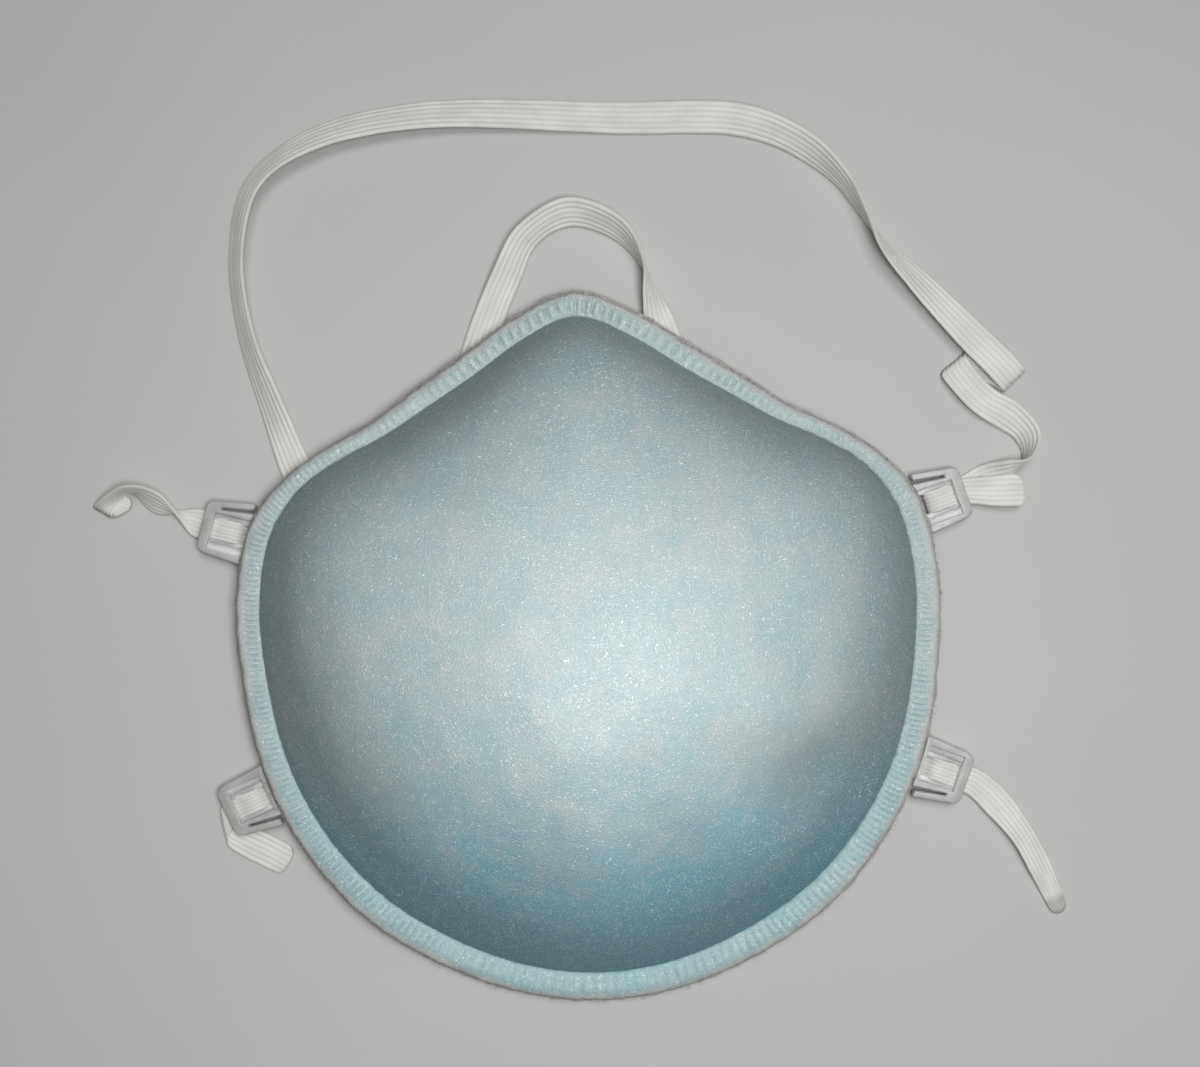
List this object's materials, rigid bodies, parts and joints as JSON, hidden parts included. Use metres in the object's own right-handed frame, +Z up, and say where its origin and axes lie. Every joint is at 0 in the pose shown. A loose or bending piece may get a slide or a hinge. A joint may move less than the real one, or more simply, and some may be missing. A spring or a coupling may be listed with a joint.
{
  "type": "disposable respirator",
  "caption": "Moulded cup respirator with a ribbed rim, ladder buckles and loose elastic head straps, lying dome up.",
  "frame": {"origin": "on the surface that the respirator lies on, under the middle of the rim and its buckles", "axes": "+Z up through the dome, +Y towards the nose, +X towards the right as seen from the front; both halves are alike apart from the straps"},
  "size_m": [0.1792, 0.1698, 0.0502],
  "materials": {
    "shell_fabric": "moulded nonwoven, fine fibres, slightly glossy",
    "band_fabric": "gathered nonwoven band, finely ribbed",
    "seal_fabric": "soft white felted edge",
    "buckle_plastic": "milky translucent moulded plastic, satin gloss",
    "strap_elastic": "flat braided elastic with lengthwise ribs"
  },
  "bodies": {
    "root": {"shell": "shell_fabric", "rim_band": "band_fabric", "face_seal": "seal_fabric", "buckle_upper_left": "buckle_plastic", "buckle_upper_right": "buckle_plastic", "buckle_lower_left": "buckle_plastic", "buckle_lower_right": "buckle_plastic", "upper_strap": "strap_elastic", "lower_strap": "strap_elastic"}
  },
  "joints": []
}
